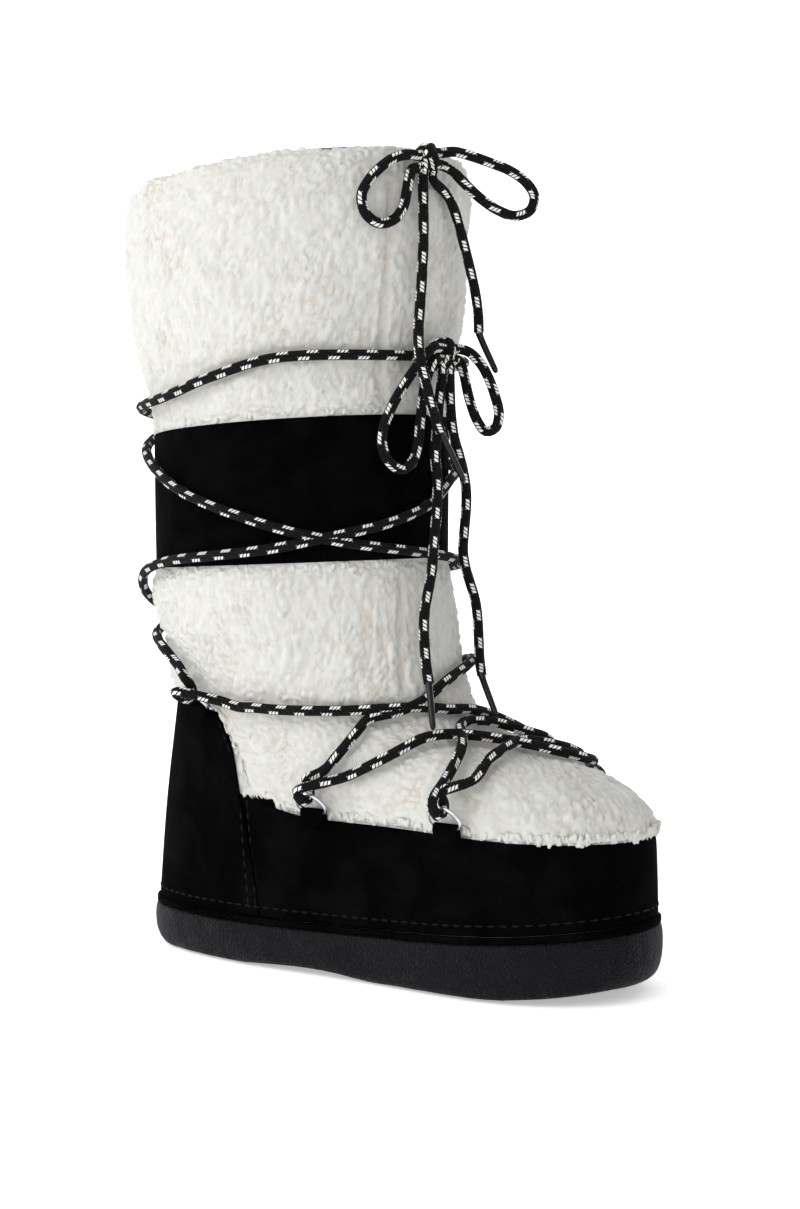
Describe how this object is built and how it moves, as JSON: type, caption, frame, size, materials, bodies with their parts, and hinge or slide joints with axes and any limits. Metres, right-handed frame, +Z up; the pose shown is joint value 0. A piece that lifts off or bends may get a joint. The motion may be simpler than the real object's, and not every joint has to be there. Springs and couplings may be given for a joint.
{
  "type": "suede boot",
  "caption": "Tall winter boot with a suede foot and shaft band, a shearling vamp and cuff, a low rubber sole, D-rings and a wound lace tied in bows.",
  "frame": {"origin": "on the floor, under the middle of the boot's box without its bows", "axes": "+X towards the toe, +Y towards the wearer's left, +Z up"},
  "size_m": [0.3028, 0.1708, 0.4135],
  "materials": {
    "rubber": "matte pebbled charcoal rubber",
    "footbed": "short wool pile",
    "shearling": "off-white curly pile",
    "suede": "black napped suede",
    "steel": "bright plated steel wire",
    "lace": "round black braid with white flecks",
    "aglet": "glossy black plastic"
  },
  "bodies": {
    "root": {"outsole": "rubber", "insole": "footbed", "upper": "shearling", "welt": "suede", "foot_panel": "suede", "heel_counter": "suede", "shaft_band": "suede", "d_ring_right_front": "steel", "d_ring_right_middle": "steel", "d_ring_right_back": "steel", "d_ring_left_front": "steel", "d_ring_left_middle": "steel", "d_ring_left_back": "steel", "ring_tab_right_front": "suede", "ring_tab_right_middle": "suede", "ring_tab_right_back": "suede", "ring_tab_left_front": "suede", "ring_tab_left_middle": "suede", "ring_tab_left_back": "suede", "lace_foot": "lace", "lace_shaft": "lace", "collar_knot": "lace", "lower_knot": "lace", "collar_loop_right": "lace", "collar_loop_left": "lace", "collar_end_right": "lace", "collar_end_left": "lace", "lower_loop_right": "lace", "lower_loop_left": "lace", "lower_end_right": "lace", "lower_end_left": "lace", "collar_aglet_right": "aglet", "collar_aglet_left": "aglet", "lower_aglet_right": "aglet", "lower_aglet_left": "aglet"}
  },
  "joints": []
}
